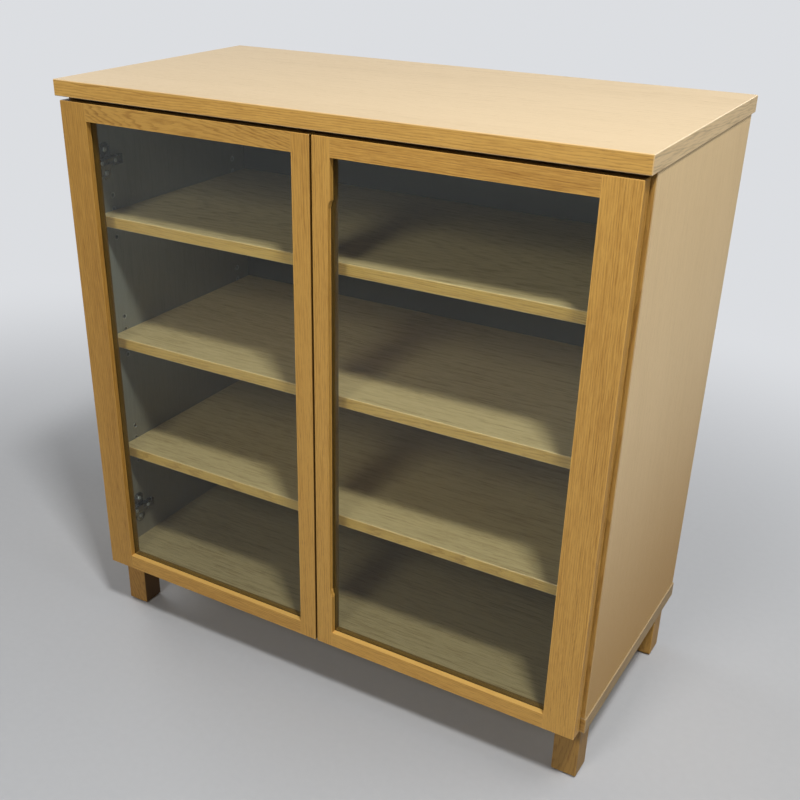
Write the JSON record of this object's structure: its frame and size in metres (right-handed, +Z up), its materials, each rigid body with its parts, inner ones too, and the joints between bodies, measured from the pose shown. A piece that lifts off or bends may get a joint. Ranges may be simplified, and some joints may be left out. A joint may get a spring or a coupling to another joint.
{
  "type": "glass-front cabinet",
  "caption": "Low oak cabinet on short square legs, with framed glass doors on concealed hinges, adjustable shelves and a finger pull in the meeting stile.",
  "frame": {"origin": "centre of the footprint, on the floor", "axes": "+Z up; -Y is the front, where the doors are; +X is to the right seen from the front"},
  "size_m": [0.8, 0.4, 0.83],
  "materials": {
    "oak": "clear satin oil on solid oak",
    "oak_veneer": "clear satin lacquer on oak veneer",
    "glass": "clear flat glass",
    "hinge_steel": "nickel-plated pressed steel",
    "pin_steel": "plain turned steel",
    "beech": "raw dowel",
    "clear_rubber": "soft clear dot",
    "glide_plastic": "plain moulded"
  },
  "bodies": {
    "carcass": {"back_panel": "oak_veneer", "bottom_board": "oak", "carcass_dowels": "beech", "foot_glides": "glide_plastic", "hinge_arm_left_lower": "hinge_steel", "hinge_arm_left_upper": "hinge_steel", "hinge_arm_right_lower": "hinge_steel", "hinge_arm_right_upper": "hinge_steel", "hinge_arm_screws": "pin_steel", "hinge_plate_left_lower": "hinge_steel", "hinge_plate_left_upper": "hinge_steel", "hinge_plate_right_lower": "hinge_steel", "hinge_plate_right_upper": "hinge_steel", "hinge_plate_screws": "pin_steel", "leg_bolts": "pin_steel", "leg_front_left": "oak", "leg_front_right": "oak", "leg_rear_left": "oak", "leg_rear_right": "oak", "pin_sleeves_left": "pin_steel", "pin_sleeves_right": "pin_steel", "shelf_lower": "oak_veneer", "shelf_middle": "oak_veneer", "shelf_pins": "pin_steel", "shelf_upper": "oak_veneer", "side_panel_left": "oak_veneer", "side_panel_right": "oak_veneer", "top_board": "oak"},
    "door_left": {"door_left_bottom_rail": "oak", "door_left_bumpers": "clear_rubber", "door_left_frame_dowels": "beech", "door_left_glass": "glass", "door_left_glass_beads": "oak", "door_left_hinge_cup_lower": "hinge_steel", "door_left_hinge_cup_screws": "pin_steel", "door_left_hinge_cup_upper": "hinge_steel", "door_left_hinge_pins": "pin_steel", "door_left_meeting_stile": "oak", "door_left_outer_stile": "oak", "door_left_top_rail": "oak"},
    "door_right": {"door_right_bottom_rail": "oak", "door_right_bumpers": "clear_rubber", "door_right_frame_dowels": "beech", "door_right_glass": "glass", "door_right_glass_beads": "oak", "door_right_hinge_cup_lower": "hinge_steel", "door_right_hinge_cup_screws": "pin_steel", "door_right_hinge_cup_upper": "hinge_steel", "door_right_hinge_pins": "pin_steel", "door_right_meeting_stile": "oak", "door_right_outer_stile": "oak", "door_right_top_rail": "oak"}
  },
  "joints": [
    {"name": "door_left_swing", "type": "hinge", "parent": "carcass", "child": "door_left", "pos_m": [-0.3867, -0.1875, 0.447], "axis": [0, 0, -1], "range_deg": [0, 100]},
    {"name": "door_right_swing", "type": "hinge", "parent": "carcass", "child": "door_right", "pos_m": [0.3867, -0.1875, 0.447], "axis": [0, 0, 1], "range_deg": [0, 100]}
  ]
}
